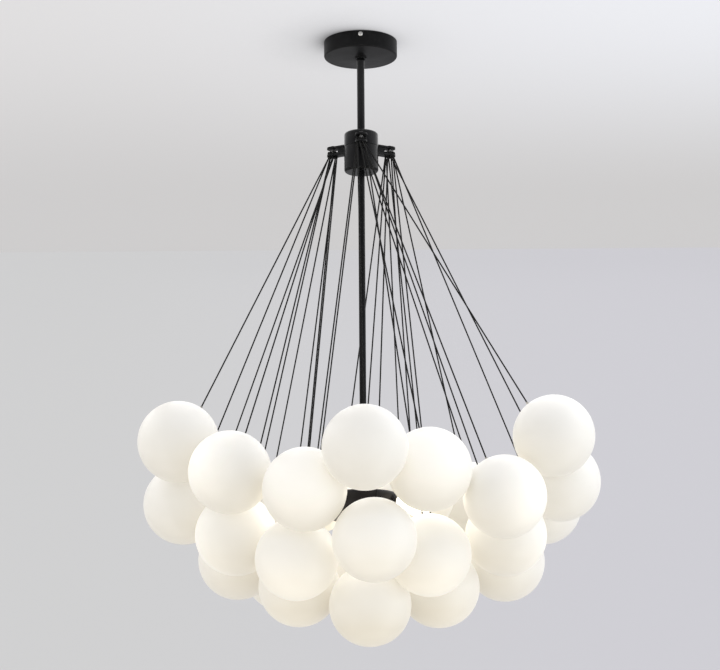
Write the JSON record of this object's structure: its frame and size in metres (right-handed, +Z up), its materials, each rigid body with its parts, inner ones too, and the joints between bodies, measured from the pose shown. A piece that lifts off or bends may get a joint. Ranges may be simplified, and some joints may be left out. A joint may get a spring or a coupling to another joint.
{
  "type": "bubble chandelier",
  "caption": "Ceiling light with a cluster of frosted glass globes on black cords that hang from a short-armed hub on a rod, round a central lamp body.",
  "frame": {"origin": "centre of the ceiling bracket's flat top face, which lies on the ceiling, on the axis of the rods", "axes": "+Z up along the rods; -Y towards the front arm and the picture's viewer; +X to that viewer's right"},
  "size_m": [0.6832, 0.6407, 0.9274],
  "materials": {
    "black_metal": "satin black paint",
    "bright_steel": "bright turned steel",
    "zinc_steel": "zinc plated",
    "black_cord": "braided cord",
    "frosted_glass": "frosted opal",
    "bulb_glass": "opal, lit",
    "white_plastic": "moulded",
    "cable_sheath": "smooth sheath"
  },
  "bodies": {
    "fixture": {"ceiling_bracket": "zinc_steel", "terminal_block": "white_plastic", "rod_nut": "zinc_steel", "upper_rod": "black_metal", "hub_upper_shell": "black_metal", "hub_lower_shell": "black_metal", "upper_spider": "black_metal", "lower_spider": "black_metal", "arm_pin_left": "bright_steel", "arm_pin_right": "bright_steel", "arm_pin_front": "bright_steel", "central_rod": "black_metal", "supply_cable": "cable_sheath", "lamp_body": "black_metal", "bulb_1": "bulb_glass", "bulb_2": "bulb_glass", "bulb_3": "bulb_glass", "cord_set_left": "black_cord", "cord_set_right": "black_cord", "cord_set_front": "black_cord", "cord_centre": "black_cord", "globe_02": "frosted_glass", "globe_03": "frosted_glass", "globe_05": "frosted_glass", "globe_06": "frosted_glass", "globe_07": "frosted_glass", "globe_08": "frosted_glass", "globe_09": "frosted_glass", "globe_10": "frosted_glass", "globe_11": "frosted_glass", "globe_13": "frosted_glass", "globe_15": "frosted_glass", "globe_16": "frosted_glass", "globe_17": "frosted_glass", "globe_18": "frosted_glass", "globe_19": "frosted_glass", "globe_20": "frosted_glass", "globe_21": "frosted_glass", "globe_23": "frosted_glass", "globe_24": "frosted_glass", "globe_26": "frosted_glass", "globe_27": "frosted_glass", "globe_28": "frosted_glass", "globe_29": "frosted_glass", "globe_30": "frosted_glass"},
    "canopy": {"canopy_cover": "black_metal", "canopy_screw_front": "bright_steel", "canopy_screw_back": "bright_steel"},
    "left_globe": {"globe_01": "frosted_glass", "cord_01": "black_cord"},
    "front_globe": {"globe_04": "frosted_glass", "cord_04": "black_cord"},
    "upper_right_globe": {"globe_12": "frosted_glass", "cord_12": "black_cord"},
    "right_globe": {"globe_14": "frosted_glass", "cord_14": "black_cord"},
    "back_globe": {"globe_22": "frosted_glass", "cord_22": "black_cord"},
    "back_left_globe": {"globe_25": "frosted_glass", "cord_25": "black_cord"}
  },
  "joints": [
    {"name": "canopy_slide", "type": "slide", "parent": "fixture", "child": "canopy", "axis": [0, 0, -1], "range_m": [0, 0.09]},
    {"name": "left_globe_swing", "type": "hinge", "parent": "fixture", "child": "left_globe", "pos_m": [-0.04944, 0.02286, -0.1774], "axis": [-0.144, 0.9896, 0], "range_deg": [0, 12]},
    {"name": "front_globe_swing", "type": "hinge", "parent": "fixture", "child": "front_globe", "pos_m": [-0.0055, -0.05347, -0.1774], "axis": [-1, -0.0078, 0], "range_deg": [0, 12]},
    {"name": "upper_right_globe_swing", "type": "hinge", "parent": "fixture", "child": "upper_right_globe", "pos_m": [0.00635, -0.04862, -0.1774], "axis": [-0.2384, -0.9712, 0], "range_deg": [0, 12]},
    {"name": "right_globe_swing", "type": "hinge", "parent": "fixture", "child": "right_globe", "pos_m": [0.04976, 0.02426, -0.1774], "axis": [0.522, -0.8529, 0], "range_deg": [0, 12]},
    {"name": "back_globe_swing", "type": "hinge", "parent": "fixture", "child": "back_globe", "pos_m": [0.03851, 0.0294, -0.1774], "axis": [0.9741, -0.226, 0], "range_deg": [0, 12]},
    {"name": "back_left_globe_swing", "type": "hinge", "parent": "fixture", "child": "back_left_globe", "pos_m": [-0.04344, 0.0315, -0.1774], "axis": [0.5649, 0.8251, 0], "range_deg": [0, 12]}
  ]
}
